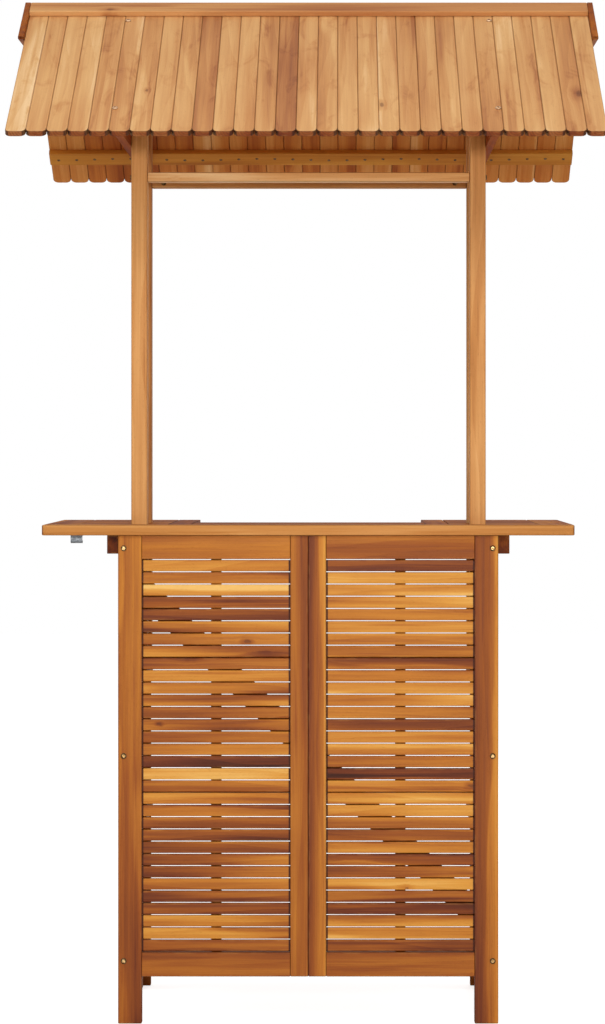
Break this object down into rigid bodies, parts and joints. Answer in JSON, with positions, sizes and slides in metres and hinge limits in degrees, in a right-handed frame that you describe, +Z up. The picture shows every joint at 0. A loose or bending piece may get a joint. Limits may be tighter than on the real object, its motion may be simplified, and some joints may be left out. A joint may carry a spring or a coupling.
{
  "type": "outdoor bar table with roof",
  "caption": "Wooden garden bar: slatted base with shelves, a counter with side wings, and posts that carry a boarded gable roof.",
  "frame": {"origin": "on the floor under the middle of the roof ridge", "axes": "+Z up, +X along the counter to the right as the guest sees it, -Y towards the guest"},
  "size_m": [1.22, 1.06, 2.17],
  "materials": {
    "frame_wood": "oiled hardwood, satin",
    "slat_wood": "oiled hardwood, satin",
    "inner_wood": "oiled hardwood, satin",
    "shelf_wood": "oiled hardwood, satin",
    "post_wood": "oiled hardwood, satin",
    "counter_wood": "oiled hardwood, satin",
    "roof_board_wood": "oiled hardwood, satin",
    "roof_frame_wood": "oiled hardwood, satin",
    "bolt_brass": "yellow passivated, satin",
    "nut_steel": "plain zinc grey, satin"
  },
  "bodies": {
    "root": {"front_left_leg": "frame_wood", "front_right_leg": "frame_wood", "front_left_inner_stile": "frame_wood", "front_right_inner_stile": "frame_wood", "front_top_rails": "frame_wood", "front_bottom_rails": "frame_wood", "front_left_slats": "slat_wood", "front_right_slats": "slat_wood", "front_slat_battens": "inner_wood", "front_brace": "inner_wood", "side_left_stiles": "frame_wood", "side_right_stiles": "frame_wood", "side_left_rails": "frame_wood", "side_right_rails": "frame_wood", "side_left_slats": "slat_wood", "side_right_slats": "slat_wood", "side_slat_battens": "inner_wood", "rear_left_leg": "frame_wood", "rear_right_leg": "frame_wood", "upper_shelf_planks": "shelf_wood", "lower_shelf_planks": "shelf_wood", "upper_shelf_cleats": "inner_wood", "lower_shelf_cleats": "inner_wood", "front_left_post": "post_wood", "front_right_post": "post_wood", "rear_left_post": "post_wood", "rear_right_post": "post_wood", "front_crossbar": "post_wood", "rear_crossbar": "post_wood", "counter_front_board": "counter_wood", "counter_middle_planks": "counter_wood", "counter_left_planks": "counter_wood", "counter_right_planks": "counter_wood", "counter_left_outer_border": "counter_wood", "counter_right_outer_border": "counter_wood", "counter_left_inner_border": "counter_wood", "counter_right_inner_border": "counter_wood", "counter_front_cleat": "inner_wood", "counter_rear_rail": "inner_wood", "left_wing_rail": "inner_wood", "right_wing_rail": "inner_wood", "wing_hook": "nut_steel", "roof_front_boards": "roof_board_wood", "roof_rear_boards": "roof_board_wood", "roof_front_battens": "roof_frame_wood", "roof_rear_battens": "roof_frame_wood", "ridge_cap_front": "roof_board_wood", "ridge_cap_rear": "roof_board_wood", "left_gable_plate": "roof_board_wood", "right_gable_plate": "roof_board_wood", "left_rafters": "roof_frame_wood", "right_rafters": "roof_frame_wood", "left_tie": "roof_frame_wood", "right_tie": "roof_frame_wood", "frame_bolts": "bolt_brass", "frame_barrel_nuts": "nut_steel", "post_bolts": "bolt_brass", "roof_bolts": "bolt_brass", "crossbar_bolts": "bolt_brass", "crossbar_barrel_nuts": "nut_steel"}
  },
  "joints": []
}
